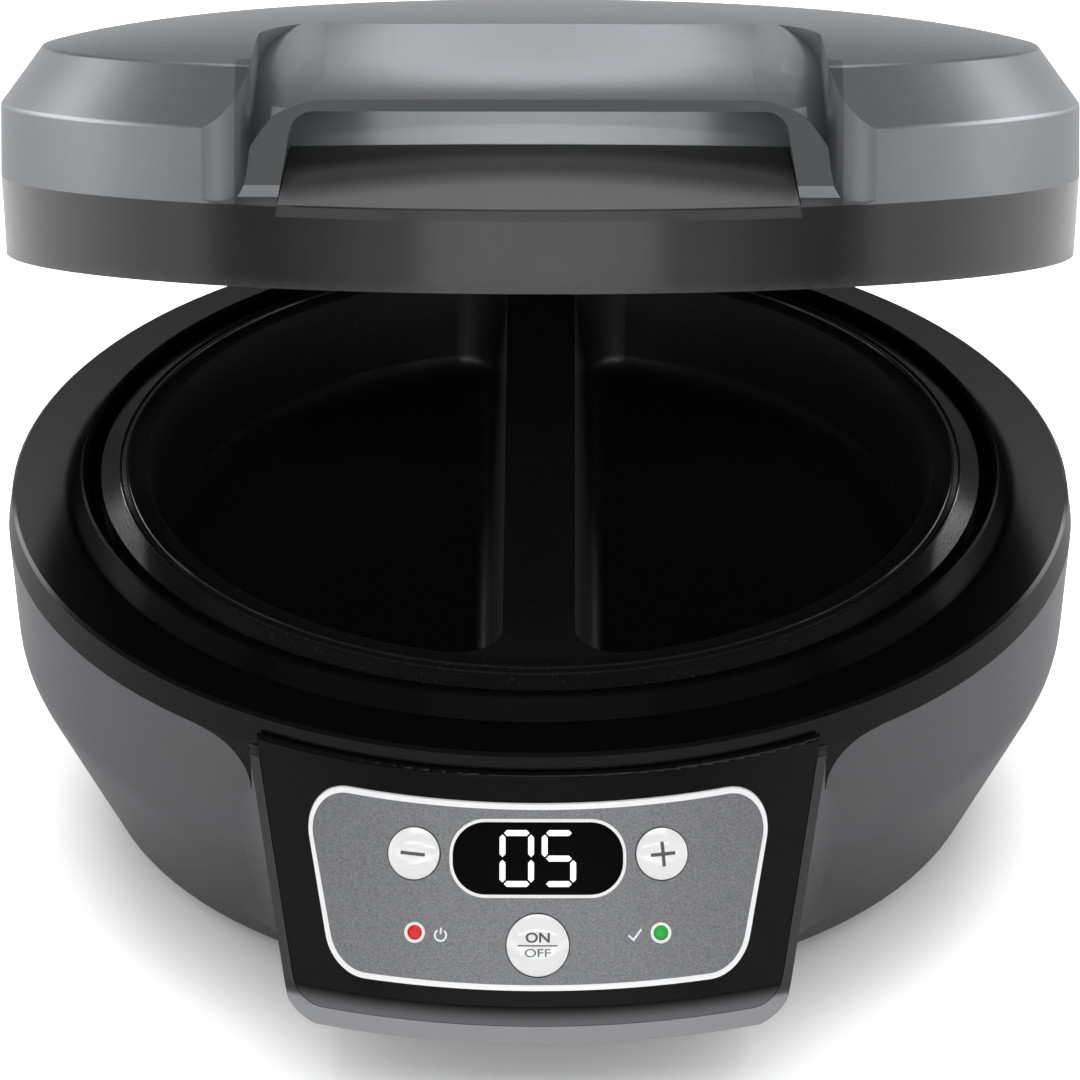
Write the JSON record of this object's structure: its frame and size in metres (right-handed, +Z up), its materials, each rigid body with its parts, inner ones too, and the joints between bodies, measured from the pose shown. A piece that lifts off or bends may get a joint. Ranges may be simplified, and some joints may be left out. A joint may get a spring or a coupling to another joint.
{
  "type": "electric omelette maker",
  "caption": "Round countertop cooker with a hinged lid, half-moon non-stick pans and a front console with display and keys.",
  "frame": {"origin": "on the floor under the feet, on the axis of the round cooking plate", "axes": "+Z up, the console faces -Y, the hinge is at +Y, +X is to the right seen from the console"},
  "size_m": [0.2624, 0.3119, 0.2368],
  "materials": {
    "grey_paint": "satin metallic grey paint on moulded plastic",
    "gloss_black": "polished black moulding",
    "satin_black": "fine satin black moulding",
    "nonstick": "black non-stick coating on cast aluminium",
    "foot_rubber": "black rubber",
    "screw_steel": "zinc plated",
    "heater_steel": "heat-tinted steel sheath",
    "reflector_sheet": "bright aluminised sheet",
    "ceramic": "unglazed ceramic",
    "terminal_metal": "tinned brass",
    "thermostat_can": "drawn aluminium can",
    "fuse_body": "tinned",
    "fascia_grey": "fine metallic grey",
    "fascia_silver": "bright silver line",
    "display_black": "smoked window",
    "display_white": "white",
    "button_white": "polished pearl white",
    "switch_parts": "black",
    "lamp_red": "clear red lens",
    "lamp_green": "clear green lens",
    "bezel_white": "white",
    "board_green": "solder mask",
    "transformer_yellow": "taped winding on a laminated core",
    "relay_blue": "moulded case",
    "capacitor_black": "printed sleeve",
    "terminal_block_grey": "moulded",
    "lead_white": "silicone insulation"
  },
  "bodies": {
    "base": {"base_shell": "grey_paint", "board_screws": "screw_steel", "bottom_cover": "satin_black", "capacitor": "capacitor_black", "control_board": "board_green", "control_chips": "switch_parts", "control_housing": "satin_black", "cord_gland": "satin_black", "cover_screws": "screw_steel", "display_digits": "display_white", "display_module": "switch_parts", "display_rim": "display_white", "display_window": "display_black", "fascia_plate": "fascia_grey", "fascia_trim": "fascia_silver", "feet": "foot_rubber", "fuse_clip": "terminal_metal", "heater_bushes": "ceramic", "heater_leads": "lead_white", "heater_terminals": "terminal_metal", "hinge_bracket": "satin_black", "hinge_pin": "screw_steel", "hinge_screws": "screw_steel", "housing_screws": "screw_steel", "led_bezels": "bezel_white", "lower_heating_element": "heater_steel", "lower_plate": "nonstick", "lower_reflector": "reflector_sheet", "plate_screws": "screw_steel", "power_board": "board_green", "power_board_screws": "screw_steel", "power_led": "lamp_red", "ready_led": "lamp_green", "relay": "relay_blue", "ring_screws": "screw_steel", "tact_switches": "switch_parts", "terminal_block": "terminal_block_grey", "thermal_fuse": "fuse_body", "thermostat": "thermostat_can", "top_ring": "gloss_black", "transformer": "transformer_yellow"},
    "lid": {"lid_band": "gloss_black", "lid_screws": "screw_steel", "lid_shell": "grey_paint", "upper_fuse_clip": "terminal_metal", "upper_heater_bushes": "ceramic", "upper_heater_terminals": "terminal_metal", "upper_heating_element": "heater_steel", "upper_plate": "nonstick", "upper_plate_screws": "screw_steel", "upper_reflector": "reflector_sheet", "upper_reflector_screws": "screw_steel", "upper_thermal_fuse": "fuse_body"},
    "minus_key": {"minus_button": "button_white", "minus_plunger": "switch_parts"},
    "plus_key": {"plus_button": "button_white", "plus_plunger": "switch_parts"},
    "start_key": {"start_button": "button_white", "start_plunger": "switch_parts"}
  },
  "joints": [
    {"name": "lid_hinge", "type": "hinge", "parent": "base", "child": "lid", "pos_m": [0, 0.144, 0.0967], "axis": [-1, 0, 0], "range_deg": [-23.5, 71.5]},
    {"name": "minus_press", "type": "slide", "parent": "base", "child": "minus_key", "axis": [0.1768, 0.8561, -0.4857], "range_m": [0, 0.0008], "stiffness_N_per_m": 600, "springref_m": -0.0008},
    {"name": "plus_press", "type": "slide", "parent": "base", "child": "plus_key", "axis": [-0.1768, 0.8561, -0.4857], "range_m": [0, 0.0008], "stiffness_N_per_m": 600, "springref_m": -0.0008},
    {"name": "start_press", "type": "slide", "parent": "base", "child": "start_key", "axis": [0, 0.8741, -0.4857], "range_m": [0, 0.0008], "stiffness_N_per_m": 600, "springref_m": -0.0008}
  ]
}
